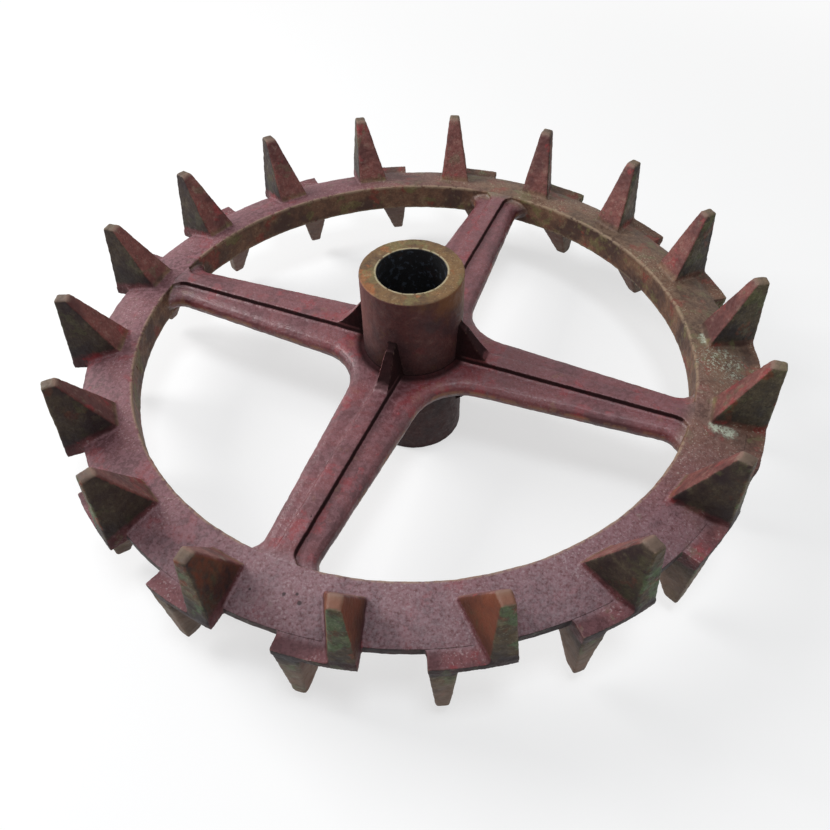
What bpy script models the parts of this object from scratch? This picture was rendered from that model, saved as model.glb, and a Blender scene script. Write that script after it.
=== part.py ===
"""Toothed ring of a land roller, an iron casting with a fixed hub.

The ring lies flat. The bore runs along +Z, and the origin is at the hub's centre, on the
mid-plane of the casting, which is also the plane about which rim, spokes and hub mirror.
Lengths are in metres and angles in degrees.

The rim is a wedge section turned round the bore, and 18 thin blocks stand out from its edge.
Each block carries a spike on top, flush with one end of the block, and a second spike below,
which is the first one turned over about the block's radius. Four ribbed spokes with a flared
root join the rim to the hub barrel.
"""

import math

import bmesh
import bpy
from mathutils import Vector

# Whole ring
OVERALL_DIAMETER = 0.530
CLEARANCE = 0.0003
OVERRUN = 0.005

# Hub barrel
BORE_DIAMETER = 0.050
HUB_WALL = 0.0135
HUB_LENGTH = 0.154
HUB_CHAMFER = 0.0015
HUB_STEPS = 48

# Rim section, high at its bore and thin at its edge
RIM_WIDTH = 0.0405
RIM_WALL_HEIGHT = 0.025
RIM_EDGE_HEIGHT = 0.008
RIM_CORNER = 0.0012
CROWN_POWER = 1.8
CROWN_ROW_SHARES = (0.35, 0.60, 0.82)

# Blocks on the rim's edge
BLOCK_COUNT = 18
BLOCK_REACH = 0.0125
BLOCK_LEDGE = 0.0006
BLOCK_TAPER = 0.0005
BLOCK_ARC_SHARE = 0.585
BLOCK_STEPS = 4
NOTCH_STEPS = 2
FIRST_BLOCK_ANGLE = 116.55

# Spikes
SPIKE_HEIGHT = 0.061
SPIKE_SEAT_LENGTH = 0.0415
SPIKE_INNER_WIDTH = 0.0285
SPIKE_OUTER_WIDTH = 0.0185
SPIKE_TIP_WIDTH = 0.0100
SPIKE_TIP_DEPTH = 0.0107
SPIKE_TIP_INSET = 0.0040
SPIKE_TIP_SETBACK = 0.0050
SPIKE_ROUNDING = 0.0018
SPIKE_ROUND_STEPS = 2

# Spokes: a flange with a rib along each face
SPOKE_COUNT = 4
FIRST_SPOKE_ANGLE = 66.55
SPOKE_HUB_WIDTH = 0.0610
SPOKE_RIM_WIDTH = 0.0394
SPOKE_EDGE_ROUNDING = 0.0085
EDGE_INSET_SHARES = (0.0, 0.134, 0.5, 1.0)
EDGE_RISE_SHARES = (0.0, 0.5, 0.866, 1.0)
POCKET_DEPTH = 0.0040
POCKET_CORNER = 0.0090
RIB_WIDTH = 0.0120
RIB_DRAFT = 0.0015
HUB_FILLET = 0.0360
WINDOW_CORNER = 0.0110
GUSSET_RISE = 0.0300
GUSSET_REACH = 0.0240
GUSSET_DRAFT = 0.0028
GUSSET_POWER = 1.25
HUB_ARC_STEPS = 4
STRAIGHT_STEPS = 3
RIM_ARC_STEPS = 4

# Sizes that follow from those above
BLOCK_RADIUS = OVERALL_DIAMETER / 2
RIM_EDGE_RADIUS = BLOCK_RADIUS - BLOCK_REACH
RIM_BORE_RADIUS = RIM_EDGE_RADIUS - RIM_WIDTH
HUB_RADIUS = BORE_DIAMETER / 2 + HUB_WALL
BLOCK_PITCH = 360 / BLOCK_COUNT
BLOCK_ARC = BLOCK_PITCH * BLOCK_ARC_SHARE
BLOCK_ROOT_RISE = RIM_EDGE_HEIGHT / 2 - BLOCK_LEDGE
BLOCK_EDGE_RISE = BLOCK_ROOT_RISE - BLOCK_TAPER
RIB_RISE = RIM_WALL_HEIGHT / 2
FLANGE_RISE = RIB_RISE - POCKET_DEPTH
SPOKE_TAPER = (SPOKE_HUB_WIDTH - SPOKE_RIM_WIDTH) / 2 / (RIM_BORE_RADIUS - HUB_RADIUS)
SPOKE_LEVEL = SPOKE_HUB_WIDTH / 2 + SPOKE_TAPER * HUB_RADIUS

# Paint on the casting: colour, roughness and metallic value of each kind of piece
RIM_PAINT = ((0.150, 0.052, 0.056, 1.0), 0.62, 0.10)
SPOKE_PAINT = ((0.135, 0.030, 0.036, 1.0), 0.50, 0.10)
SPIKE_PAINT = ((0.165, 0.060, 0.050, 1.0), 0.66, 0.15)
HUB_PAINT = ((0.270, 0.120, 0.055, 1.0), 0.58, 0.35)


def polar(radius, angle):
    """Point in plan at a radius and an angle in degrees."""
    turn = math.radians(angle)
    return radius * math.cos(turn), radius * math.sin(turn)


def clear_scene():
    """Remove the objects that the file starts with."""
    for thing in list(bpy.data.objects):
        bpy.data.objects.remove(thing, do_unlink=True)


def paint(name, look):
    """Principled material with a colour, a roughness and a metallic value."""
    colour, roughness, metallic = look
    material = bpy.data.materials.new(name)
    material.use_nodes = True
    shader = material.node_tree.nodes["Principled BSDF"]
    shader.inputs["Base Color"].default_value = colour
    shader.inputs["Roughness"].default_value = roughness
    shader.inputs["Metallic"].default_value = metallic
    material.diffuse_color = colour
    return material


def finished_mesh(name, work):
    """Turn a bmesh into a mesh with its faces out and its gentle edges smooth."""
    bmesh.ops.recalc_face_normals(work, faces=work.faces)
    mesh = bpy.data.meshes.new(name)
    work.to_mesh(mesh)
    work.free()
    mesh.shade_smooth()
    mesh.set_sharp_from_angle(angle=math.radians(32))
    return mesh


def place(name, mesh, material, parent, angle=0.0, turned_over=False):
    """Add a piece, turned round the bore and, if asked, first over about its own radius."""
    thing = bpy.data.objects.new(name, mesh)
    if not mesh.materials:
        mesh.materials.append(material)
    thing.parent = parent
    thing.rotation_euler = (math.pi if turned_over else 0.0, 0.0, math.radians(angle))
    bpy.context.scene.collection.objects.link(thing)
    return thing


def turned(profile, angles, full_turn):
    """Turn a closed profile of (radius, height) points through the angles, in degrees."""
    work = bmesh.new()
    sections = []
    for angle in angles:
        section = []
        for radius, height in profile:
            section.append(work.verts.new((*polar(radius, angle), height)))
        sections.append(section)
    spans = len(sections) if full_turn else len(sections) - 1
    for index in range(spans):
        near = sections[index]
        far = sections[(index + 1) % len(sections)]
        for corner in range(len(profile)):
            after = (corner + 1) % len(profile)
            work.faces.new((near[corner], near[after], far[after], far[corner]))
    if not full_turn:
        work.faces.new(sections[0])
        work.faces.new(sections[-1])
    work.faces.ensure_lookup_table()
    return work


def hub_profile():
    """Section of the barrel, with both ends chamfered inside and outside."""
    bore = BORE_DIAMETER / 2
    end = HUB_LENGTH / 2
    shoulder = end - HUB_CHAMFER
    return [
        (bore, shoulder), (bore + HUB_CHAMFER, end),
        (HUB_RADIUS - HUB_CHAMFER, end), (HUB_RADIUS, shoulder),
        (HUB_RADIUS, -shoulder), (HUB_RADIUS - HUB_CHAMFER, -end),
        (bore + HUB_CHAMFER, -end), (bore, -shoulder),
    ]


def hub_mesh():
    """The barrel is its section turned round the bore."""
    angles = [360 * step / HUB_STEPS for step in range(HUB_STEPS)]
    return finished_mesh("hub_barrel", turned(hub_profile(), angles, True))


def crown(radius):
    """Height of the rim's upper face over the mid-plane: flat at the bore, falling outward."""
    share = (radius - RIM_BORE_RADIUS) / RIM_WIDTH
    fall = (RIM_WALL_HEIGHT - RIM_EDGE_HEIGHT) / 2
    return RIM_WALL_HEIGHT / 2 - fall * share ** CROWN_POWER


def crown_points():
    """Points of the rim's upper face from the bore's rounded corner to the edge."""
    radii = [RIM_BORE_RADIUS + RIM_CORNER]
    radii += [RIM_BORE_RADIUS + RIM_WIDTH * share for share in CROWN_ROW_SHARES]
    radii.append(RIM_EDGE_RADIUS)
    return [(radius, crown(radius)) for radius in radii]


def rim_profile():
    """Section of the rim, whose last upper and first lower point bound the blocks' root."""
    upper = [(RIM_BORE_RADIUS, RIM_WALL_HEIGHT / 2 - RIM_CORNER)]
    upper += crown_points()
    upper.append((RIM_EDGE_RADIUS, BLOCK_ROOT_RISE))
    lower = [(radius, -height) for radius, height in reversed(upper)]
    return upper + lower


def rim_angles():
    """Angles of the rim's sections, with a section at both ends of each block."""
    angles = []
    for block in range(BLOCK_COUNT):
        start = FIRST_BLOCK_ANGLE - BLOCK_ARC / 2 + BLOCK_PITCH * block
        angles += [start + BLOCK_ARC * step / BLOCK_STEPS for step in range(BLOCK_STEPS)]
        notch = BLOCK_PITCH - BLOCK_ARC
        start += BLOCK_ARC
        angles += [start + notch * step / NOTCH_STEPS for step in range(NOTCH_STEPS)]
    return angles


def rim_mesh():
    """Turn the rim, then extrude the middle of its edge outward along each block."""
    profile = rim_profile()
    work = turned(profile, rim_angles(), True)
    edge_face = len(profile) // 2 - 1
    spans = BLOCK_STEPS + NOTCH_STEPS
    bands = []
    for block in range(BLOCK_COUNT):
        first = block * spans
        numbers = [(first + step) * len(profile) + edge_face for step in range(BLOCK_STEPS)]
        bands.append([work.faces[number] for number in numbers])
    stretch = BLOCK_RADIUS / RIM_EDGE_RADIUS
    for band in bands:
        grown = bmesh.ops.extrude_face_region(work, geom=band)["geom"]
        bmesh.ops.delete(work, geom=[face for face in band if face.is_valid], context="FACES_ONLY")
        for corner in grown:
            if isinstance(corner, bmesh.types.BMVert):
                side = math.copysign(BLOCK_EDGE_RISE, corner.co.z)
                corner.co = Vector((corner.co.x * stretch, corner.co.y * stretch, side))
    return finished_mesh("ring_rim", work)


def seat_cutter():
    """Solid under the faces that a spike stands on, larger than them by the clearance."""
    profile = [(radius, height + CLEARANCE) for radius, height in crown_points()[:-1]]
    step_radius = RIM_EDGE_RADIUS + CLEARANCE
    profile.append((step_radius, RIM_EDGE_HEIGHT / 2 + CLEARANCE))
    profile.append((step_radius, BLOCK_ROOT_RISE + CLEARANCE))
    profile.append((BLOCK_RADIUS + OVERRUN, BLOCK_EDGE_RISE + CLEARANCE))
    profile.append((BLOCK_RADIUS + OVERRUN, -OVERRUN))
    profile.append((profile[0][0], -OVERRUN))
    span = BLOCK_ARC / BLOCK_STEPS
    reach = BLOCK_STEPS // 2 + 1
    angles = [span * step for step in range(-reach, reach + 1)]
    mesh = finished_mesh("seat_cutter", turned(profile, angles, False))
    cutter = bpy.data.objects.new("seat_cutter", mesh)
    cutter.hide_render = True
    cutter.display_type = "WIRE"
    bpy.context.scene.collection.objects.link(cutter)
    return cutter


def spike_corner(radius, width, setback, height):
    """Trailing and leading corner of a level of the spike, at a radius, along the block's end."""
    lead = BLOCK_ARC / 2 - math.degrees(setback / radius)
    trail = lead - math.degrees(width / radius)
    return Vector((*polar(radius, trail), height)), Vector((*polar(radius, lead), height))


def spike_blank():
    """Wedge from the mid-plane to the tip: wide inner face, narrower outer face, small tip."""
    inner = BLOCK_RADIUS - SPIKE_SEAT_LENGTH
    tip_outer = BLOCK_RADIUS - SPIKE_TIP_INSET
    tip_inner = tip_outer - SPIKE_TIP_DEPTH
    seat_inner = spike_corner(inner, SPIKE_INNER_WIDTH, 0.0, crown(inner))
    seat_outer = spike_corner(BLOCK_RADIUS, SPIKE_OUTER_WIDTH, 0.0, BLOCK_EDGE_RISE)
    tip_in = spike_corner(tip_inner, SPIKE_TIP_WIDTH, SPIKE_TIP_SETBACK, SPIKE_HEIGHT)
    tip_out = spike_corner(tip_outer, SPIKE_TIP_WIDTH, SPIKE_TIP_SETBACK, SPIKE_HEIGHT)
    seats = [seat_inner[0], seat_inner[1], seat_outer[1], seat_outer[0]]
    tips = [tip_in[0], tip_in[1], tip_out[1], tip_out[0]]
    work = bmesh.new()
    foot_ring = []
    for seat, tip in zip(seats, tips):
        foot_ring.append(work.verts.new(seat + (seat - tip) * (seat.z / (tip.z - seat.z))))
    tip_ring = [work.verts.new(tip) for tip in tips]
    work.faces.new(foot_ring)
    work.faces.new(tip_ring)
    for corner in range(4):
        after = (corner + 1) % 4
        ring = (foot_ring[corner], foot_ring[after], tip_ring[after], tip_ring[corner])
        work.faces.new(ring)
    rounded = [edge for edge in work.edges if not all(end in foot_ring for end in edge.verts)]
    bmesh.ops.bevel(
        work, geom=rounded, offset=SPIKE_ROUNDING, segments=SPIKE_ROUND_STEPS, profile=0.5, affect="EDGES",
    )
    return finished_mesh("spike_blank", work)


def spike_mesh():
    """Cut the blank where it meets the rim and the block, and keep what stands on them."""
    cutter = seat_cutter()
    blank = bpy.data.objects.new("spike_blank", spike_blank())
    bpy.context.scene.collection.objects.link(blank)
    cut = blank.modifiers.new("seat", "BOOLEAN")
    cut.operation = "DIFFERENCE"
    cut.object = cutter
    graph = bpy.context.evaluated_depsgraph_get()
    mesh = bpy.data.meshes.new_from_object(blank.evaluated_get(graph))
    mesh.name = "spike"
    bpy.data.objects.remove(blank, do_unlink=True)
    bpy.data.objects.remove(cutter, do_unlink=True)
    return mesh


def corner_arc(centre, radius, start, end, steps):
    """Points of an arc in plan, from one angle to another, both ends included."""
    points = []
    for step in range(steps + 1):
        across, along = polar(radius, start + (end - start) * step / steps)
        points.append((centre[0] + across, centre[1] + along))
    return points


def straight_run(start, end, steps):
    """Points between two points in plan, neither end included."""
    shares = [step / steps for step in range(1, steps)]
    return [tuple(a + (b - a) * share for a, b in zip(start, end)) for share in shares]


def turn_into_rim(level, taper, corner, inset):
    """Arc from the line y = level - taper * x, moved in by inset, to the rim's bore."""
    slant = math.hypot(1.0, taper)
    reach = RIM_BORE_RADIUS - corner
    offset = level + corner * slant
    root = offset ** 2 * taper ** 2 - slant ** 2 * (offset ** 2 - reach ** 2)
    across = (offset * taper + math.sqrt(root)) / slant ** 2
    centre = (across, offset - taper * across)
    radius = corner + inset
    seam = RIM_BORE_RADIUS - CLEARANCE
    swing = math.acos((seam ** 2 - reach ** 2 - radius ** 2) / (2 * reach * radius))
    bearing = math.atan2(centre[1], centre[0])
    start = -90 - math.degrees(math.atan(taper))
    end = math.degrees(bearing - swing)
    return corner_arc(centre, radius, start, end, RIM_ARC_STEPS)


def window_lane(inset):
    """Edge of the flange from the seam with the next spoke to the rim, moved in by inset."""
    slant = math.hypot(1.0, SPOKE_TAPER)
    middle = (HUB_FILLET * slant + SPOKE_LEVEL) / (1 + SPOKE_TAPER)
    radius = HUB_FILLET + inset
    start = -135 + math.degrees(math.asin(CLEARANCE / 2 / radius))
    end = -90 - math.degrees(math.atan(SPOKE_TAPER))
    hub_turn = corner_arc((middle, middle), radius, start, end, HUB_ARC_STEPS)
    rim_turn = turn_into_rim(SPOKE_LEVEL, SPOKE_TAPER, WINDOW_CORNER, inset)
    return hub_turn + straight_run(hub_turn[-1], rim_turn[0], STRAIGHT_STEPS) + rim_turn


def rib_lane(half_width, corner, root_x):
    """Edge of the rib from its first row past the hub to the rim."""
    barrel = HUB_RADIUS + CLEARANCE
    rows = HUB_ARC_STEPS + 1
    hub_run = [(barrel + (root_x - barrel) * row / rows, half_width) for row in range(1, rows + 1)]
    rim_turn = turn_into_rim(half_width, 0.0, corner, 0.0)
    return hub_run + straight_run(hub_run[-1], rim_turn[0], STRAIGHT_STEPS) + rim_turn


def gusset_share(across):
    """How far the gusset has risen where the rib is this far from the hub's axis, 0 to 1."""
    barrel = HUB_RADIUS + CLEARANCE
    left = 1.0 - (across - barrel) / GUSSET_REACH
    return max(0.0, left) ** GUSSET_POWER


def blend_in_plan(first, second, share):
    """Point between two points in plan, part of the way in radius and in bearing."""
    radius = math.hypot(*first) * (1 - share) + math.hypot(*second) * share
    bearing = math.atan2(first[1], first[0]) * (1 - share) + math.atan2(second[1], second[0]) * share
    return polar(radius, math.degrees(bearing))


def hub_row():
    """Row of the spoke on the barrel, from the seam at one side to the rib's middle."""
    barrel = HUB_RADIUS + CLEARANCE
    seam = 45 - math.degrees(math.asin(CLEARANCE / 2 / barrel))
    foot = RIB_WIDTH / 2 + RIB_DRAFT
    top = RIB_WIDTH / 2 - GUSSET_DRAFT
    side = polar(barrel, seam)
    rib_foot = (math.sqrt(barrel ** 2 - foot ** 2), foot)
    rib_top = (math.sqrt(barrel ** 2 - top ** 2), top)
    row = [(*side, FLANGE_RISE)]
    row += [(*blend_in_plan(side, rib_foot, share / 3), FLANGE_RISE) for share in (1, 2)]
    row.append((*rib_foot, FLANGE_RISE))
    row.append((*rib_top, RIB_RISE + GUSSET_RISE))
    row.append((barrel, 0.0, RIB_RISE + GUSSET_RISE))
    return row


def spoke_rows():
    """Rows across the spoke from hub to rim, each from one window's edge to the rib's middle."""
    lanes = [window_lane(SPOKE_EDGE_ROUNDING * share) for share in EDGE_INSET_SHARES]
    root_x = lanes[0][HUB_ARC_STEPS][0]
    foot_lane = rib_lane(RIB_WIDTH / 2 + RIB_DRAFT, POCKET_CORNER - RIB_DRAFT, root_x)
    top_lane = rib_lane(RIB_WIDTH / 2, POCKET_CORNER, root_x)
    rim_seam = RIM_BORE_RADIUS - CLEARANCE
    last_turn = len(top_lane) - RIM_ARC_STEPS - 1
    rows = []
    for number, (foot, top) in enumerate(zip(foot_lane, top_lane)):
        row = []
        for lane, rise in zip(lanes, EDGE_RISE_SHARES):
            row.append((*lane[number], FLANGE_RISE * rise))
        inner = lanes[-1][number]
        row += [(*blend_in_plan(inner, foot, share / 3), FLANGE_RISE) for share in (1, 2)]
        row.append((*foot, FLANGE_RISE))
        risen = gusset_share(top[0])
        height = RIB_RISE + GUSSET_RISE * risen
        narrowed = top[1] - GUSSET_DRAFT * risen
        row.append((top[0], narrowed, height))
        past_turn = max(0, number - last_turn) / RIM_ARC_STEPS
        straight = top_lane[min(number, last_turn)][0]
        row.append((straight + (rim_seam - straight) * past_turn, 0.0, height))
        rows.append(row)
    return rows


def mirrored_row(row):
    """Add the other half of a row, on the far side of the rib's middle."""
    return row + [(across, -side, height) for across, side, height in reversed(row[:-1])]


def spoke_mesh():
    """Loft the rows into one closed body that mirrors about the mid-plane."""
    work = bmesh.new()
    upper = []
    lower = []
    for row in [hub_row()] + spoke_rows():
        full = mirrored_row(row)
        above = [work.verts.new(point) for point in full]
        below = []
        for corner, point in zip(above, full):
            shared = point[2] == 0.0
            below.append(corner if shared else work.verts.new((point[0], point[1], -point[2])))
        upper.append(above)
        lower.append(below)
    skipped = len(EDGE_INSET_SHARES) - 1
    for sheet in (upper, lower):
        trimmed = sheet[1][skipped:len(sheet[1]) - skipped]
        pairs = [(sheet[0], trimmed)] + list(zip(sheet[1:], sheet[2:]))
        for near, far in pairs:
            for lane in range(len(near) - 1):
                work.faces.new((near[lane], near[lane + 1], far[lane + 1], far[lane]))
    for order in (1, -1):
        rise = upper[1][::order][skipped::-1]
        fall = lower[1][::order][1:skipped + 1]
        work.faces.new([upper[0][::order][0]] + rise + fall + [lower[0][::order][0]])
    for above, below in ((upper[0], lower[0]), (upper[-1], lower[-1])):
        for lane in range(len(above) - 1):
            ring = [above[lane], above[lane + 1], below[lane + 1], below[lane]]
            work.faces.new(list(dict.fromkeys(ring)))
    return finished_mesh("spoke", work)


def build():
    """Model every piece and set it on the hub's axis."""
    clear_scene()
    axis = bpy.data.objects.new("bore_axis", None)
    bpy.context.scene.collection.objects.link(axis)
    place("ring_rim", rim_mesh(), paint("rim_primer", RIM_PAINT), axis)
    place("hub_barrel", hub_mesh(), paint("hub_primer", HUB_PAINT), axis)
    arm = spoke_mesh()
    arm_paint = paint("spoke_primer", SPOKE_PAINT)
    for number in range(SPOKE_COUNT):
        angle = FIRST_SPOKE_ANGLE + 360 * number / SPOKE_COUNT
        place(f"spoke_{number + 1}", arm, arm_paint, axis, angle)
    tooth = spike_mesh()
    tooth_paint = paint("spike_primer", SPIKE_PAINT)
    for number in range(BLOCK_COUNT):
        angle = FIRST_BLOCK_ANGLE - BLOCK_PITCH * number
        place(f"upper_spike_{number + 1:02d}", tooth, tooth_paint, axis, angle)
        place(f"lower_spike_{number + 1:02d}", tooth, tooth_paint, axis, angle, turned_over=True)


build()
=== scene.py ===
"""Looks of a toothed land-roller ring: one iron casting in red-oxide primer.

The frame divides the casting into solids with fine seams. Here its skin is built again without
them, in lengths of metres and angles of degrees: the rim's band and the hub's sleeve are turned,
the four arms and the web are one spider, and each block is one tooth with the spikes on it.
"""

import logging
import math
from dataclasses import dataclass
from enum import Enum
from typing import Callable

import bpy
from mathutils import Matrix, Vector


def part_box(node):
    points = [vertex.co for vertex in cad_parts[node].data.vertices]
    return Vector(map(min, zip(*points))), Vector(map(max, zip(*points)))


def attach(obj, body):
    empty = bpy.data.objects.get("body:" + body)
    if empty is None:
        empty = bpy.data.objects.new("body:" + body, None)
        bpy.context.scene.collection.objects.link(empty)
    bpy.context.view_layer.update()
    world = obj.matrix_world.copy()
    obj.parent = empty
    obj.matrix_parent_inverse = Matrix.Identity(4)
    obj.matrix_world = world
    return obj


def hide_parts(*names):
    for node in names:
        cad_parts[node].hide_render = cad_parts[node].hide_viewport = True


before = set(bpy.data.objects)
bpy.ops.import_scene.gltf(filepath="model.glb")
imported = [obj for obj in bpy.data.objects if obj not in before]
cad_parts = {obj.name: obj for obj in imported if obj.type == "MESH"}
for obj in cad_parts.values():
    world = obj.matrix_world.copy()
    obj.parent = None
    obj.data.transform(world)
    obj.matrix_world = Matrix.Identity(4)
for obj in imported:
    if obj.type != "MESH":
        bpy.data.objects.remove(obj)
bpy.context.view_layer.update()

LOG = logging.getLogger("roller_ring")
MERGE = 1e-6

Piece = bpy.types.Object
Colour = tuple[float, ...]
Point = tuple[float, float, float]
Spot = tuple[float, float, float]
Outline = list[tuple[float, float]]

BLACK: Colour = (0.0, 0.0, 0.0, 1.0)
WHITE: Colour = (1.0, 1.0, 1.0, 1.0)


@dataclass(frozen=True)
class RingSizes:
    """Sizes that several pieces of the ring share.

    The radii and rises follow the frame's solids. The skins of neighbouring pieces run into each
    other, and a hidden core lies core_inset under the surface that it stands in for.
    """

    outer_radius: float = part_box("ring_rim")[1][0]
    bore_radius: float = 0.212
    edge_radius: float = 0.2525
    wall_rise: float = 0.0125
    edge_rise: float = 0.004
    crown_power: float = 1.8
    block_rise: float = 0.0032
    block_arc: float = 11.7
    block_count: int = 18
    first_block: float = 116.55
    arm_count: int = 4
    first_arm: float = 66.55
    hub_radius: float = 0.0385
    hub_bore: float = 0.025
    hub_rise: float = 0.077
    core_inset: float = 0.0002

    def crown(self, radius: float) -> float:
        """Height of the rim's upper face over the mid-plane at a radius."""
        share = (radius - self.bore_radius) / (self.edge_radius - self.bore_radius)
        return self.wall_rise - (self.wall_rise - self.edge_rise) * max(0.0, share) ** self.crown_power


SIZES = RingSizes()


@dataclass(frozen=True)
class Grain:
    """How fine the skin is made.

    Attributes:
        voxel: size of the cells that a joined skin is rebuilt with.
        turn_steps: steps of a full turn.
        run: greatest length of a profile's edge.
    """

    voxel: float
    turn_steps: int
    run: float


FINE = Grain(voxel=0.0010, turn_steps=640, run=0.0016)
GRAIN = FINE


class Bench:
    """Modelling steps that several pieces share."""

    @staticmethod
    def pick(*pieces: Piece) -> None:
        """Select only these pieces, and make the first one active.

        Args:
            pieces: the pieces.
        """
        bpy.ops.object.select_all(action="DESELECT")
        for piece in pieces:
            piece.select_set(True)
        bpy.context.view_layer.objects.active = pieces[0]

    @staticmethod
    def on_all(operator: Callable, **settings: object) -> None:
        """Run an edit-mode operator on a whole mesh."""
        bpy.ops.mesh.select_all(action="SELECT")
        operator(**settings)

    @staticmethod
    def turned(name: str, outline: Outline, sweep: float, steps: int) -> Piece:
        """Turn an outline about the bore.

        Args:
            name: name of the new piece.
            outline: corners of the closed outline, as radius and height.
            sweep: angle of the turn, in degrees, half of it to each side of +X.
            steps: number of steps of the turn.

        Returns:
            The closed piece.
        """
        bpy.ops.object.select_all(action="DESELECT")
        bpy.ops.mesh.primitive_plane_add(size=1.0, location=(0.0, 0.0, 0.0))
        piece = bpy.context.object
        piece.name = name
        bpy.ops.object.mode_set(mode="EDIT")
        Bench.on_all(bpy.ops.mesh.merge, type="CENTER")
        radius, height = outline[0]
        bpy.ops.transform.translate(value=(radius, 0.0, height))
        for after_radius, after_height in outline[1:] + outline[:1]:
            step = (after_radius - radius, 0.0, after_height - height)
            bpy.ops.mesh.extrude_region_move(TRANSFORM_OT_translate={"value": step})
            radius, height = after_radius, after_height
        Bench.on_all(bpy.ops.mesh.remove_doubles, threshold=MERGE)
        turn = {"center": (0.0, 0.0, 0.0), "axis": (0.0, 0.0, 1.0), "angle": math.radians(sweep)}
        Bench.on_all(bpy.ops.mesh.spin, steps=steps, **turn)
        Bench.on_all(bpy.ops.mesh.remove_doubles, threshold=MERGE)
        if sweep < 360:
            Bench.on_all(bpy.ops.mesh.fill_holes, sides=0)
        Bench.on_all(bpy.ops.mesh.normals_make_consistent, inside=False)
        bpy.ops.object.mode_set(mode="OBJECT")
        if sweep < 360:
            middle = sum((corner.co for corner in piece.data.vertices), Vector()) / len(piece.data.vertices)
            Bench.turn(piece, -math.degrees(math.atan2(middle.y, middle.x)))
        return piece

    @staticmethod
    def turn(piece: Piece, angle: float) -> None:
        """Turn a piece about the bore, and keep its origin there.

        Args:
            piece: the piece.
            angle: angle of the turn, in degrees.
        """
        Bench.pick(piece)
        piece.rotation_euler = (0.0, 0.0, math.radians(angle))
        bpy.ops.object.transform_apply(location=False, rotation=True, scale=False)

    @staticmethod
    def copy_of_node(node: str, name: str) -> Piece:
        """Copy a solid of the frame, with its loose triangles joined.

        Args:
            node: name of the solid.
            name: name of the copy.

        Returns:
            The copy.
        """
        piece = Bench.copy_of(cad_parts[node], name)
        piece.data.materials.clear()
        bpy.ops.object.mode_set(mode="EDIT")
        Bench.on_all(bpy.ops.mesh.remove_doubles, threshold=MERGE)
        bpy.ops.object.mode_set(mode="OBJECT")
        return piece

    @staticmethod
    def copy_of(piece: Piece, name: str, angle: float = 0.0) -> Piece:
        """Copy a piece with a mesh of its own, turned about the bore.

        Args:
            piece: the piece.
            name: name of the copy.
            angle: angle of the turn, in degrees.

        Returns:
            The copy.
        """
        copy = bpy.data.objects.new(name, piece.data.copy())
        bpy.context.scene.collection.objects.link(copy)
        Bench.turn(copy, angle)
        return copy

    @staticmethod
    def shift(piece: Piece, chosen: list[int], move: Vector) -> None:
        """Move some corners of a piece.

        Args:
            piece: the piece to shape.
            chosen: numbers of the corners that move.
            move: how far they move.
        """
        Bench.pick(piece)
        bpy.ops.object.mode_set(mode="EDIT")
        bpy.ops.mesh.select_mode(type="VERT")
        bpy.ops.mesh.select_all(action="DESELECT")
        bpy.ops.object.mode_set(mode="OBJECT")
        for number in chosen:
            piece.data.vertices[number].select = True
        bpy.ops.object.mode_set(mode="EDIT")
        bpy.ops.transform.translate(value=move)
        bpy.ops.object.mode_set(mode="OBJECT")

    @staticmethod
    def apply(piece: Piece, kind: str, **settings: object) -> None:
        """Give a piece one modifier and apply it.

        Args:
            piece: the piece to finish.
            kind: the modifier's type.
            settings: values of the modifier.
        """
        Bench.pick(piece)
        modifier = piece.modifiers.new(kind.title(), kind)
        for setting, value in settings.items():
            setattr(modifier, setting, value)
        bpy.ops.object.modifier_apply(modifier=modifier.name)

    @staticmethod
    def fused(name: str, parts: list[Piece], rounds: int) -> Piece:
        """Join overlapping closed parts to one skin with soft corners.

        Args:
            name: name of the piece.
            parts: the parts, of which the first becomes the piece.
            rounds: rounds of smoothing, which round corners and fill fillets.

        Returns:
            The piece.
        """
        Bench.pick(*parts)
        bpy.ops.object.join()
        piece = bpy.context.object
        piece.name = name
        piece.data.name = name
        Bench.apply(piece, "REMESH", mode="VOXEL", voxel_size=GRAIN.voxel, adaptivity=0.0)
        Bench.apply(piece, "SMOOTH", factor=0.5, iterations=rounds)
        return piece


class CastSurface:
    """Unevenness of the sand mould, pressed into the skin of every piece alike.

    Attributes:
        lump_size, grain_size: sizes of the broad lumps and of the fine grain.
        lumps, grain: the two clouds that the skin follows.
    """

    lump_size: float = 0.014
    grain_size: float = 0.0034

    def __init__(self) -> None:
        """Make the two clouds."""
        self.lumps = self.cloud("mould_lumps", self.lump_size, 2)
        self.grain = self.cloud("mould_grain", self.grain_size, 1)

    @staticmethod
    def cloud(name: str, size: float, depth: int) -> bpy.types.Texture:
        """Make a soft cloud.

        Args:
            name: name of its texture.
            size: size of its patches.
            depth: how many finer clouds it is made up of.

        Returns:
            The texture.
        """
        texture = bpy.data.textures.new(name, "CLOUDS")
        texture.noise_scale = size
        texture.noise_depth = depth
        return texture

    def press(self, piece: Piece, lump: float = 0.0007, grain: float = 0.0005) -> None:
        """Sink the skin of a piece where the clouds are thin.

        Args:
            piece: the piece, with its place in its mesh.
            lump: depth of the broad unevenness.
            grain: depth of the fine unevenness.
        """
        for texture, depth in ((self.lumps, lump), (self.grain, grain)):
            Bench.apply(
                piece, "DISPLACE", texture=texture, texture_coords="LOCAL", direction="NORMAL",
                strength=depth, mid_level=1.0,
            )
        Bench.pick(piece)
        bpy.ops.object.shade_smooth()


MOULD = CastSurface()


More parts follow.
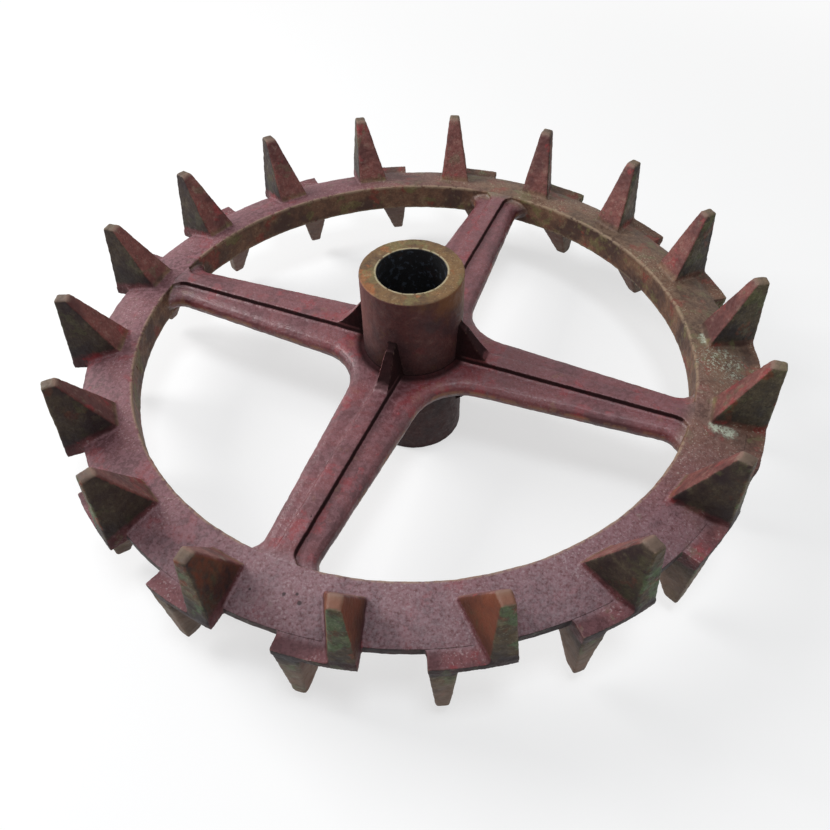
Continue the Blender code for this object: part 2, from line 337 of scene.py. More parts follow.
def arc(centre: tuple[float, float], radius: float, start: float, end: float, steps: int) -> Outline:
    """Points of an arc in a section.

    Args:
        centre: radius and height of the arc's centre.
        radius: radius of the arc.
        start: first bearing, in degrees.
        end: last bearing, in degrees.
        steps: number of steps.

    Returns:
        The points, both ends included.
    """
    points = []
    for step in range(steps + 1):
        bearing = math.radians(start + (end - start) * step / steps)
        points.append((centre[0] + radius * math.cos(bearing), centre[1] + radius * math.sin(bearing)))
    return points


def mirrored(upper: Outline) -> Outline:
    """Closed outline of which the upper half is given, with its points from the bore outwards."""
    return upper + [(radius, -height) for radius, height in reversed(upper)]


def divided(outline: Outline, run: float) -> Outline:
    """Divide the long edges of a closed outline.

    Args:
        outline: corners as radius and height.
        run: greatest length of an edge.

    Returns:
        The outline with the added points.
    """
    points = []
    for near, far in zip(outline, outline[1:] + outline[:1]):
        parts = max(1, math.ceil(math.dist(near, far) / run))
        for part in range(parts):
            share = part / parts
            points.append((near[0] + (far[0] - near[0]) * share, near[1] + (far[1] - near[1]) * share))
    return points


@dataclass
class Rim:
    """Wedge-shaped band of the ring, without its blocks.

    Attributes:
        bore_rounding, edge_rounding: radii of its corners.
        edge_bearing: bearing at which the sloping crown meets the edge's rounding.
        crown_steps: steps of the crown's curve.
        corner_steps, core_corner_steps: steps of a corner, on the skin and on a hidden stretch.
    """

    bore_rounding: float = 0.0020
    edge_rounding: float = 0.0012
    edge_bearing: float = 68.0
    crown_steps: int = 12
    corner_steps: int = 4
    core_corner_steps: int = 2

    def outline(self, inset: float, steps: int) -> Outline:
        """Section of the band.

        Args:
            inset: how far the section lies under the surface.
            steps: steps of each rounded corner.

        Returns:
            Corners as radius and height, both halves.
        """
        bore = SIZES.bore_radius + inset
        edge = SIZES.edge_radius - inset
        top = SIZES.wall_rise - inset
        side = SIZES.edge_rise - inset
        corner = (bore + self.bore_rounding, top - self.bore_rounding)
        upper = arc(corner, self.bore_rounding, 180, 90, steps)
        run = edge - self.edge_rounding - upper[-1][0]
        for _ in range(1, self.crown_steps):
            radius = upper[-1][0] + run / self.crown_steps
            upper.append((radius, SIZES.crown(radius) - inset))
        corner = (edge - self.edge_rounding, side - self.edge_rounding)
        return mirrored(upper + arc(corner, self.edge_rounding, self.edge_bearing, 0, steps))

    def core_outline(self) -> Outline:
        """Section of a hidden stretch of the band, which other pieces are fused with."""
        return self.outline(SIZES.core_inset, self.core_corner_steps)

    def build(self) -> Piece:
        """Turn the band and press the mould's grain into it.

        Returns:
            The band.
        """
        outline = divided(self.outline(0.0, self.corner_steps), GRAIN.run)
        band = Bench.turned("rim_band", outline, 360, GRAIN.turn_steps)
        MOULD.press(band)
        return band


@dataclass
class ToothRow:
    """Blocks on the rim's edge, each with the two spikes that stand on it.

    Attributes:
        root_depth: how far a block reaches into the rim.
        sink: how far a spike's seat is let into what it stands on.
        seat_slack: how near its seat a spike's corner counts as part of it.
        edge_slack, block_slack: how far past the rim's edge its crown still bears a spike, and how
            far over a block the seat is looked for.
        core_arc: angle of the hidden stretch of the rim.
        core_steps: steps of a block's and that stretch's turn.
        rounds: rounds of smoothing.
    """

    root_depth: float = 0.006
    sink: float = 0.0015
    seat_slack: float = 0.0010
    edge_slack: float = 0.0006
    block_slack: float = 0.0005
    core_arc: float = 17.0
    core_steps: int = 16
    rounds: int = 5

    def block(self) -> Piece:
        """Turn one block, rooted in the rim.

        Returns:
            The block, at +X.
        """
        inner = SIZES.edge_radius - self.root_depth
        outline = mirrored([(inner, SIZES.block_rise), (SIZES.outer_radius, SIZES.block_rise)])
        return Bench.turned("block", outline, SIZES.block_arc, self.core_steps)

    def spike(self, node: str, down: float) -> Piece:
        """Copy a spike and sink its seat into the block.

        Args:
            node: the spike's solid in the frame.
            down: direction of the seat along Z, 1 or -1.

        Returns:
            The spike.
        """
        spike = Bench.copy_of_node(node, "spike_blank")
        seat = [
            corner.index for corner in spike.data.vertices
            if abs(corner.co.z) < self.seat_height(corner.co) + self.seat_slack
        ]
        Bench.shift(spike, seat, Vector((0.0, 0.0, down * self.sink)))
        return spike

    def seat_height(self, point: Vector) -> float:
        """Height over the mid-plane of the surface that a spike stands on.

        Args:
            point: the place at which it is wanted.

        Returns:
            The height.
        """
        radius = math.hypot(point.x, point.y)
        if radius > SIZES.edge_radius + self.edge_slack:
            return SIZES.block_rise + self.block_slack
        return SIZES.crown(radius)

    def prototype(self, rim: Rim) -> Piece:
        """Fuse one block, its spikes and a hidden stretch of the rim.

        Args:
            rim: the rim that the block stands on.

        Returns:
            The tooth, where the first block is.
        """
        core = Bench.turned("rim_core", rim.core_outline(), self.core_arc, self.core_steps)
        block = self.block()
        for part in (core, block):
            Bench.turn(part, SIZES.first_block)
        spikes = [self.spike("upper_spike_01", -1.0), self.spike("lower_spike_01", 1.0)]
        return Bench.fused("tooth", [block, core] + spikes, self.rounds)

    def build(self, rim: Rim) -> list[Piece]:
        """Copy the tooth round the rim, and press the mould's grain into each copy.

        Args:
            rim: the rim that the teeth stand on.

        Returns:
            The teeth, numbered as the frame numbers its spikes.
        """
        first = self.prototype(rim)
        teeth = []
        for number in range(SIZES.block_count):
            turn = -360 / SIZES.block_count * number
            tooth = Bench.copy_of(first, f"tooth_{number + 1:02d}", turn)
            MOULD.press(tooth)
            teeth.append(tooth)
        bpy.data.objects.remove(first, do_unlink=True)
        return teeth


@dataclass
class Spider:
    """The four arms with their ribs, gussets and the web round the hub.

    Attributes:
        end_reach: how far an arm's ends run into the rim and the hub.
        end_slack: how near an end an arm's corner counts as part of it.
        seam_reach: how far an arm runs over the seam to the next arm.
        seam_slack: how near the seam an arm's corner counts as part of it.
        web_radius: reach of the seams between the arms.
        core_rise, core_wall: half the height and the wall of the hidden stretch of the hub.
        core_steps: steps of its turn.
        reach_arc, reach_steps: angle and steps of the hidden stretch of the rim at an arm.
        rounds: rounds of smoothing.
        most_faces: greatest number of faces of the fused piece.
    """

    end_reach: float = 0.0030
    end_slack: float = 0.0008
    seam_reach: float = 0.0005
    seam_slack: float = 0.0004
    web_radius: float = 0.08
    core_rise: float = 0.046
    core_wall: float = 0.004
    core_steps: int = 96
    reach_arc: float = 19.0
    reach_steps: int = 18
    rounds: int = 4
    most_faces: int = 92000

    def arm(self) -> Piece:
        """Copy an arm, with its ends and its seams run into their neighbours.

        Returns:
            The arm, along +X.
        """
        arm = Bench.copy_of_node("spoke_1", "arm")
        Bench.turn(arm, -SIZES.first_arm)
        radii = [math.hypot(corner.co.x, corner.co.y) for corner in arm.data.vertices]
        far = SIZES.bore_radius - self.end_slack
        near = SIZES.hub_radius + self.end_slack
        outer = [number for number, radius in enumerate(radii) if radius > far]
        inner = [number for number, radius in enumerate(radii) if radius < near]
        Bench.shift(arm, outer, Vector((self.end_reach, 0.0, 0.0)))
        Bench.shift(arm, inner, Vector((-self.end_reach, 0.0, 0.0)))
        for side in (1.0, -1.0):
            out = Vector((-1.0, side, 0.0)).normalized()
            seam = [
                corner.index for corner in arm.data.vertices
                if corner.co.x < self.web_radius and corner.co.dot(out) > -self.seam_slack
            ]
            Bench.shift(arm, seam, out * self.seam_reach)
        return arm

    def build(self, rim: Rim) -> Piece:
        """Fuse the arms with hidden stretches of the hub and the rim, and press the grain in.

        Args:
            rim: the rim that the arms run into.

        Returns:
            The spider.
        """
        arm = self.arm()
        reach = Bench.turned("rim_core", rim.core_outline(), self.reach_arc, self.reach_steps)
        radius = SIZES.hub_radius - SIZES.core_inset
        ring = mirrored([(SIZES.hub_bore + self.core_wall, self.core_rise), (radius, self.core_rise)])
        parts = [Bench.turned("hub_core", ring, 360, self.core_steps)]
        for number in range(SIZES.arm_count):
            turn = SIZES.first_arm + 360 / SIZES.arm_count * number
            parts.append(Bench.copy_of(arm, "arm_copy", turn))
            parts.append(Bench.copy_of(reach, "reach_copy", turn))
        for spare in (arm, reach):
            bpy.data.objects.remove(spare, do_unlink=True)
        spider = Bench.fused("spider", parts, self.rounds)
        Bench.apply(spider, "DECIMATE", ratio=min(1.0, self.most_faces / len(spider.data.polygons)))
        MOULD.press(spider)
        return spider


@dataclass
class Hub:
    """Barrel of the hub with its bore and softened ends.

    Attributes:
        end_rounding, bore_rounding: radii of its outer and inner corners.
        end_steps, bore_steps: steps of those corners.
        turn_share: how many of the rim's steps one step of its turn stands for.
        unevenness: depth of the broad and of the fine unevenness.
    """

    end_rounding: float = 0.0016
    bore_rounding: float = 0.0010
    end_steps: int = 4
    bore_steps: int = 3
    turn_share: int = 3
    unevenness: float = 0.0004

    def outline(self) -> Outline:
        """Section of the barrel.

        Returns:
            Corners as radius and height, both halves.
        """
        top = SIZES.hub_rise
        lip = (SIZES.hub_radius - self.end_rounding, top - self.end_rounding)
        mouth = (SIZES.hub_bore + self.bore_rounding, top - self.bore_rounding)
        upper = arc(mouth, self.bore_rounding, 180, 90, self.bore_steps)
        return mirrored(upper + arc(lip, self.end_rounding, 90, 0, self.end_steps))

    def build(self) -> Piece:
        """Turn the barrel and press the mould's grain into it.

        Returns:
            The barrel.
        """
        outline = divided(self.outline(), GRAIN.run)
        barrel = Bench.turned("hub_sleeve", outline, 360, GRAIN.turn_steps // self.turn_share)
        MOULD.press(barrel, self.unevenness, self.unevenness)
        return barrel


def tone(red: int, green: int, blue: int) -> Colour:
    """Linear colour of a shade, by the sRGB standard's curve.

    Args:
        red, green, blue: its screen values, 0 to 255.

    Returns:
        The colour.
    """
    shares = (value / 255 for value in (red, green, blue))
    linear = [share / 12.92 if share < 0.04045 else ((share + 0.055) / 1.055) ** 2.4 for share in shares]
    return (*linear, 1.0)


class Wire:
    """A shader value that does its sums with Python's operators."""

    def __init__(self, graph: "Graph", socket: bpy.types.NodeSocket) -> None:
        """Wrap an output socket of a graph."""
        self.graph = graph
        self.socket = socket

    def __add__(self, other: object) -> "Wire":
        """Sum."""
        return self.graph.math("ADD", self, other)

    def __radd__(self, other: object) -> "Wire":
        """Sum with a number before it."""
        return self.graph.math("ADD", other, self)

    def __sub__(self, other: object) -> "Wire":
        """Difference."""
        return self.graph.math("SUBTRACT", self, other)

    def __rsub__(self, other: object) -> "Wire":
        """Difference from a number."""
        return self.graph.math("SUBTRACT", other, self)

    def __mul__(self, other: object) -> "Wire":
        """Product."""
        return self.graph.math("MULTIPLY", self, other)

    def __rmul__(self, other: object) -> "Wire":
        """Product with a number before it."""
        return self.graph.math("MULTIPLY", other, self)

    def __truediv__(self, other: object) -> "Wire":
        """Quotient."""
        return self.graph.math("DIVIDE", self, other)

    def __rtruediv__(self, other: object) -> "Wire":
        """A number divided by the value."""
        return self.graph.math("DIVIDE", other, self)

    def __neg__(self) -> "Wire":
        """The value with its sign turned."""
        return self.graph.math("MULTIPLY", self, -1.0)

    def size(self) -> "Wire":
        """The value without its sign."""
        return self.graph.math("ABSOLUTE", self)

    def held(self) -> "Wire":
        """The value kept between 0 and 1."""
        return self.graph.math("ADD", self, held=True)

    def step(self, low: float, high: float) -> "Wire":
        """Soft step of the value.

        Args:
            low: value at which the step begins.
            high: value at which it is 1. It may be the lower one, and then the step falls.

        Returns:
            A mask from 0 to 1.
        """
        settings = {"interpolation_type": "SMOOTHSTEP", "clamp": True}
        ends = (low, high, 0.0, 1.0) if low < high else (high, low, 1.0, 0.0)
        return self.graph.node("ShaderNodeMapRange", settings, dict(enumerate((self, *ends))))


class Graph:
    """Nodes of one material or of the world."""

    def __init__(self, owner: bpy.types.ID, shader: str = "Principled BSDF") -> None:
        """Open the nodes of a new material or world, which hold its shader and its output only.

        Args:
            owner: the material or world.
            shader: name of its shader's node.
        """
        owner.use_nodes = True
        self.owner = owner
        self.tree = owner.node_tree
        self.shader = self.tree.nodes[shader]

    def fill(self, node: bpy.types.Node, sockets: dict) -> None:
        """Give inputs of a node their values or wires.

        Args:
            node: the node.
            sockets: a value or a wire for each input, by name or number.
        """
        for socket, value in sockets.items():
            if isinstance(value, Wire):
                self.tree.links.new(value.socket, node.inputs[socket])
            else:
                node.inputs[socket].default_value = value

    def node(self, kind: str, settings: dict, sockets: dict, output: object = 0) -> Wire:
        """Add a node.

        Args:
            kind: type of the node.
            settings: its properties, which are set first.
            sockets: a value or a wire for each input, by name or number.
            output: the output that is wanted, by name or number.

        Returns:
            That output.
        """
        made = self.tree.nodes.new(kind)
        for setting, value in settings.items():
            setattr(made, setting, value)
        self.fill(made, sockets)
        return Wire(self, made.outputs[output])

    def math(self, operation: str, first: object, second: object = 0.0, held: bool = False) -> Wire:
        """Result of a sum with one or two values, kept between 0 and 1 if held."""
        settings = {"operation": operation, "use_clamp": held}
        return self.node("ShaderNodeMath", settings, {0: first, 1: second})

    def length(self, along_x: Wire, along_y: Wire) -> Wire:
        """Length of a way in the ring's plane."""
        return self.math("SQRT", along_x * along_x + along_y * along_y)

    def split(self, vector: Wire) -> list[Wire]:
        """The three numbers of a vector."""
        made = self.node("ShaderNodeSeparateXYZ", {}, {0: vector}).socket.node
        return [Wire(self, socket) for socket in made.outputs]

    def blend(self, ground: object, cover: object, mask: object) -> Wire:
        """Lay a colour over another where a mask says."""
        return self.node("ShaderNodeMix", {"data_type": "RGBA"}, {"Factor": mask, 6: ground, 7: cover}, 2)

    def noise(self, place: Wire, size: float, detail: float = 4.0, roughness: float = 0.6) -> Wire:
        """Cloudy pattern whose patches have about this size."""
        sockets = {"Vector": place, "Scale": 1.0 / size, "Detail": detail, "Roughness": roughness}
        return self.node("ShaderNodeTexNoise", {}, sockets, "Fac")

    def geometry(self, output: str) -> Wire:
        """What the surface itself tells, such as its normal."""
        return self.node("ShaderNodeNewGeometry", {}, {}, output)

    def place(self) -> Wire:
        """Place on the object."""
        return self.node("ShaderNodeTexCoord", {}, {}, "Object")


@dataclass(frozen=True)
class Coat:
    """Primer on one zone of the casting, with what weather and handling left on it.

    Attributes:
        ground: the primer itself.
        shade: its darker, thinner patches.
        flush: fresh red where the primer is thick.
        moss: olive and green weathering.
        dust_and_sky_light: what settles on faces that look up, together with a painted reflection of the sky.
        speck: worn grains that catch the light.
        flush_share, moss_share, dust_and_sky_share, speck_share: how much of the zone each covers.
        mottle: strength of the blotches of the shade and of the speck's colour.
    """

    ground: Colour
    shade: Colour
    flush: Colour
    moss: Colour
    dust_and_sky_light: Colour
    speck: Colour
    flush_share: float
    moss_share: float
    dust_and_sky_share: float
    speck_share: float
    mottle: float = 0.0


class Zone(Enum):
    """Zones of the casting, each with its own coat."""

    RIM_LEFT = Coat(
        tone(108, 62, 64), tone(60, 27, 30), tone(128, 44, 48), tone(104, 88, 72), tone(134, 95, 101),
        tone(192, 172, 172), 0.28, 0.12, 0.80, 0.40,
    )
    RIM_RIGHT = Coat(
        tone(110, 76, 60), tone(60, 39, 32), tone(126, 50, 44), tone(100, 98, 66), tone(130, 108, 90),
        tone(196, 190, 166), 0.32, 0.36, 0.65, 0.45,
    )
    RIM_BORE = Coat(
        tone(122, 88, 68), tone(68, 45, 37), tone(128, 58, 48), tone(112, 102, 64), tone(146, 122, 104),
        tone(172, 152, 116), 0.26, 0.28, 0.50, 0.25, 0.50,
    )
    # Painted shade: the rim's outer edge wall is coloured dark.
    RIM_EDGE = Coat(
        tone(54, 31, 31), tone(28, 16, 18), tone(92, 36, 38), tone(76, 76, 58), tone(116, 82, 84),
        tone(150, 146, 130), 0.20, 0.26, 0.50, 0.20, 0.35,
    )
    ARM = Coat(
        tone(110, 52, 54), tone(74, 31, 35), tone(134, 34, 40), tone(118, 80, 62), tone(126, 84, 90),
        tone(184, 164, 170), 0.30, 0.14, 0.60, 0.18,
    )
    SPIKE_INNER = Coat(
        tone(124, 72, 66), tone(80, 42, 40), tone(144, 52, 54), tone(104, 86, 68), tone(144, 106, 100),
        tone(186, 160, 142), 0.24, 0.22, 0.45, 0.25, 0.40,
    )
    SPIKE_OUTER = Coat(
        tone(92, 76, 54), tone(42, 31, 25), tone(122, 58, 38), tone(88, 108, 74), tone(136, 118, 104),
        tone(172, 168, 138), 0.30, 0.44, 0.60, 0.32, 0.55,
    )
    SPIKE_FLANK = Coat(
        tone(84, 74, 56), tone(32, 23, 22), tone(110, 62, 40), tone(92, 92, 60), tone(140, 118, 96),
        tone(160, 150, 118), 0.20, 0.36, 0.70, 0.20, 0.50,
    )
    BARREL = Coat(
        tone(82, 42, 40), tone(54, 27, 29), tone(94, 36, 35), tone(88, 56, 38), tone(150, 110, 80),
        tone(140, 108, 98), 0.20, 0.18, 0.40, 0.12, 0.40,
    )
    HUB_END = Coat(
        tone(116, 86, 54), tone(68, 48, 35), tone(158, 88, 46), tone(108, 104, 66), tone(132, 104, 70),
        tone(196, 178, 140), 0.32, 0.42, 0.40, 0.30, 0.35,
    )


@dataclass(frozen=True)
class Marks:
    """Colours of the single marks on the primer, of the painted shade and of the painted highlights, and
    where some of them lie.

    Attributes:
        painted_glints, pits: place and reach of each painted glint and of each dark pit.
        sprinkle: place and reach of the sprinkle of painted glints.
    """

    haze: Colour = tone(150, 132, 138)
    lip: Colour = tone(158, 136, 112)
    warm: Colour = tone(122, 64, 42)
    plum: Colour = tone(50, 31, 34)
    spike_foot_shade: Colour = tone(24, 17, 16)
    pale_foot: Colour = tone(138, 114, 99)
    tip: Colour = tone(132, 110, 96)
    painted_glint: Colour = tone(196, 204, 184)
    pit: Colour = tone(30, 17, 19)
    worn: Colour = tone(178, 148, 128)
    hollow_shade: Colour = tone(34, 15, 15)
    web: Colour = tone(122, 26, 34)
    parting: Colour = tone(150, 108, 74)
    painted_shade: Colour = tone(26, 8, 9)
    rust: Colour = tone(126, 84, 50)
    painted_side_light: Colour = tone(118, 76, 72)
    bore_highlight: Colour = tone(196, 186, 152)
    bore: Colour = tone(20, 20, 22)
    bore_grain: Colour = tone(60, 66, 76)
    painted_glints: tuple[Spot, ...] = (
        (0.2255, -0.0085, 0.0080), (0.2170, -0.0985, 0.0080), (0.2085, -0.0965, 0.0065),
    )
    sprinkle: Spot = (0.2310, -0.0330, 0.0240)
    pits: tuple[Spot, ...] = (
        (-0.0800, -0.2180, 0.0018), (-0.0722, -0.2185, 0.0014), (-0.0705, -0.2238, 0.0016),
        (-0.1010, -0.2135, 0.0013), (0.0405, -0.2290, 0.0013),
    )


MARKS = Marks()


class Site:
    """What the paint knows of the place that it lies on.

    Attributes:
        across, along, height: the place.
        rise: distance from the mid-plane.
        radius: distance from the bore's axis.
        face_x, face_z: direction in which the face looks.
        outward: how far it looks away from the axis, from -1 to 1.
        up, lee: masks of faces that look up, and of those turned away from the light.
        edge, groove, hollow: masks of edges, of grooves and of what lies deep.
        broad, patches, drift, growth, mottle, grit, scale, sand: cloudy patterns, broadest first.
    """

    def __init__(self, graph: Graph) -> None:
        """Measure the place and lay out the patterns.

        Args:
            graph: nodes of the material.
        """
        self.graph = graph
        place = graph.place()
        self.across, self.along, self.height = graph.split(place)
        self.rise = self.height.size()
        self.face_x, face_y, self.face_z = graph.split(graph.geometry("Normal"))
        self.radius = graph.length(self.across, self.along)
        self.outward = (self.face_x * self.across + face_y * self.along) / self.radius
        self.up = self.face_z.step(0.25, 0.85) * (1.0 - self.radius.step(0.250, 0.256) * 0.6)
        self.lee = (self.face_x * 0.45 - face_y * 0.89).step(-0.05, 0.25)
        pointed = graph.geometry("Pointiness")
        self.edge = pointed.step(0.525, 0.590)
        self.groove = pointed.step(0.480, 0.42)
        open_sky = graph.node("ShaderNodeAmbientOcclusion", {"samples": 8}, {"Distance": 0.014}, "AO")
        self.hollow = open_sky.step(0.84, 0.30)
        self.broad = graph.noise(place, 0.110, 3.0, 0.55)
        self.patches = graph.noise(place, 0.032)
        self.drift = graph.noise(place, 0.021)
        self.growth = graph.noise(place, 0.018)
        self.mottle = graph.noise(place, 0.0075, 4.0, 0.65)
        self.grit = graph.noise(place, 0.0042, 4.0, 0.65)
        self.scale = graph.noise(place, 0.0022, 4.0, 0.75)
        self.sand = graph.noise(place, 0.0016, 2.0)

    def beside_arm(self) -> Wire:
        """Measure how far the nearest arm's centre line is.

        Returns:
            The distance.
        """
        turn = math.radians(SIZES.first_arm)
        first = (self.across * math.cos(turn) + self.along * math.sin(turn)).size()
        second = (self.along * math.cos(turn) - self.across * math.sin(turn)).size()
        return self.graph.math("MINIMUM", first, second)

    def near(self, centre_x: float, centre_y: float, reach: float) -> Wire:
        """Mask of a ragged patch on faces that look up.

        Args:
            centre_x, centre_y: its centre.
            reach: how far it goes.

        Returns:
            The mask.
        """
        away = self.graph.length(self.across - centre_x, self.along - centre_y)
        ragged = away + (self.grit - 0.5) * (reach * 1.6)
        return ragged.step(reach, reach * 0.4) * self.face_z.step(0.5, 0.9)


class CastingPaint:
    """Weathered red-oxide primer over the whole casting, with painted light and shade, one material for each
    group of pieces.

    The two numbers of a step are radii, heights, shares of a face's direction or values of a
    pattern. The factor behind a mask is the strength of its colour.

    Attributes:
        most, span: highest value of a cloudy pattern, and how far its values lie apart.
    """

    most: float = 0.66
    span: float = 0.32

    def __init__(self, name: str) -> None:
        """Start a material and measure its site."""
        self.graph = Graph(bpy.data.materials.new(name))
        self.site = Site(self.graph)

    def cover(self, pattern: Wire, share: float, soft: float = 0.07) -> Wire:
        """Mask of about this share of a cloudy pattern."""
        low = self.most - self.span * share
        return pattern.step(low, low + soft)

    def colour(self, zone: Zone) -> Wire:
        """Lay the coat of a zone.

        Args:
            zone: the zone.

        Returns:
            Its colour.
        """
        blend, site, coat = self.graph.blend, self.site, zone.value
        skin = blend(coat.shade, coat.ground, site.patches.step(0.38, 0.58))
        skin = blend(skin, coat.flush, self.cover(site.drift, coat.flush_share) * 0.80)
        skin = blend(skin, coat.moss, self.cover(site.growth, coat.moss_share) * 0.80)
        if coat.mottle:
            skin = blend(skin, coat.shade, site.mottle.step(0.52, 0.38) * coat.mottle)
            skin = blend(skin, coat.speck, site.mottle.step(0.54, 0.70) * (coat.mottle * 0.6))
        # Faces that look up turn pale, partly from what settles on them and partly as a painted reflection of
        # the sky.
        dust_and_sky_mask = self.cover(site.grit, 0.60) * 0.55 + 0.45
        skin = blend(skin, coat.dust_and_sky_light, site.up * dust_and_sky_mask * coat.dust_and_sky_share)
        skin = blend(skin, coat.shade, self.cover(site.scale, 0.58, 0.24) * 0.60)
        glint = self.cover(site.sand, 0.30, 0.12) * site.patches.step(0.40, 0.62)
        return blend(skin, coat.speck, glint * coat.speck_share)

    def rim(self) -> Wire:
        """Paint the rim: its top with a pale haze that is partly painted sky light, painted glints and pits,
        its bore wall, and its edge in dark painted shade.

        Returns:
            Its colour.
        """
        blend, site = self.graph.blend, self.site
        side = (site.across * 0.85 + site.along * 0.55 + (site.broad - 0.5) * 0.20).step(0.03, 0.19)
        skin = blend(self.colour(Zone.RIM_LEFT), self.colour(Zone.RIM_RIGHT), side)
        # A pale haze on the rim's front tops: partly what settles there, partly a painted reflection of the
        # sky.
        front = (site.along + (site.broad - 0.5) * 0.12).step(-0.12, -0.24) * site.radius.step(0.2575, 0.2520)
        haze = site.scale.step(0.66, 0.36) * 0.60 + site.sand.step(0.35, 0.65) * 0.40
        skin = blend(skin, MARKS.haze, site.up * front * haze * 0.62)
        # Painted highlight: a sprinkle and a few single spots of pale glints on the rim's top.
        sprinkle = site.near(*MARKS.sprinkle) * self.cover(site.scale, 0.42, 0.05)
        skin = blend(skin, MARKS.painted_glint, sprinkle * 0.55)
        for painted_glint in MARKS.painted_glints:
            skin = blend(skin, MARKS.painted_glint, site.near(*painted_glint) * site.scale.step(0.38, 0.56) * 0.85)
        for pit in MARKS.pits:
            skin = blend(skin, MARKS.pit, site.near(*pit) * 0.85)
        skin = blend(skin, self.colour(Zone.RIM_BORE), (-site.outward).step(0.45, 0.85))
        lip = site.radius.step(0.2152, 0.2136) * site.rise.step(0.0088, 0.0108) * self.cover(site.grit, 0.8)
        skin = blend(skin, MARKS.lip, lip * site.beside_arm().step(0.022, 0.030) * 0.55)
        # Painted shade: faces that look outwards take the dark edge coat.
        return blend(skin, self.colour(Zone.RIM_EDGE), site.outward.step(0.55, 0.85))

    def spikes(self, skin: Wire) -> Wire:
        """Lay the spikes' colours over the rim's.

        Args:
            skin: colour of the rim.

        Returns:
            Colour of the rim and the spikes.
        """
        blend, site = self.graph.blend, self.site
        front = site.across.size().step(0.095, 0.080) * site.along.step(-0.10, -0.15)
        warm = self.graph.math("MAXIMUM", site.face_x.step(0.80, 0.94), front)
        warm = warm * (site.patches.step(0.35, 0.60) * 0.5 + 0.5)
        plum = (site.across * 0.9 + site.along * 0.6 + (site.growth - 0.5) * 0.10).step(0.17, 0.06)
        flank = blend(self.colour(Zone.SPIKE_FLANK), MARKS.plum, plum * 0.50)
        flank = blend(flank, MARKS.warm, warm * 0.80)
        coat = blend(flank, self.colour(Zone.SPIKE_OUTER), site.outward.step(0.30, 0.75))
        coat = blend(coat, self.colour(Zone.SPIKE_INNER), (-site.outward).step(0.10, 0.45))
        # Painted shade: the spikes' flanks grow near black towards the rim they stand on.
        foot_shade = (site.rise + (site.patches - 0.5) * 0.024).step(0.036, 0.014)
        coat = blend(coat, MARKS.spike_foot_shade, foot_shade * site.outward.size().step(0.7, 0.4) * 0.48)
        low = site.height.step(-0.006, -0.026) * (site.drift.step(0.38, 0.60) * 0.45 + 0.55)
        coat = blend(coat, MARKS.pale_foot, low * 0.80)
        tip = (site.rise + (site.grit - 0.5) * 0.006).step(0.0572, 0.0592) * site.up
        coat = blend(coat, MARKS.tip, tip * 0.7)
        lift = site.rise + (site.radius - 0.2235) * 0.20 + (site.grit - 0.5) * 0.004
        return blend(skin, coat, lift.step(0.0135, 0.0175))

    def finish(self, skin: Wire, gloss: float, painted_shade_mask: object = 0.0) -> bpy.types.Material:
        """Add worn edges, painted shade in hollows and creases, and grain, and close the material.

        Args:
            skin: the colour so far.
            gloss: how smooth the primer is, 0 to 1.
            painted_shade_mask: mask of the painted shade, which is also made rough and metallic so that it
                stays dark.

        Returns:
            The material.
        """
        graph, site = self.graph, self.site
        worn = site.edge * self.cover(site.grit, 0.75) * 0.50
        # Painted shade: hollows found by ambient occlusion and creases found by pointiness are darkened.
        hollow_shade = (site.hollow * 0.85 + site.groove * 0.45).held() * 0.90
        skin = graph.blend(graph.blend(skin, MARKS.worn, worn), MARKS.hollow_shade, hollow_shade)
        rough = (site.grit - 0.5) * 0.5 + site.hollow * 0.20 + painted_shade_mask * 0.45 + (0.76 - 0.42 * gloss)
        relief = site.grit * 0.55 + site.sand * 0.30 + site.growth * 0.40
        bump = {"Strength": 0.75, "Distance": 0.0010, "Height": relief}
        graph.fill(graph.shader, {
            "Base Color": skin, "Roughness": rough.held(), "Metallic": painted_shade_mask * 0.8,
            "Normal": graph.node("ShaderNodeBump", {}, bump, "Normal"),
            "Specular IOR Level": 0.22 + 0.32 * gloss,
        })
        return graph.owner


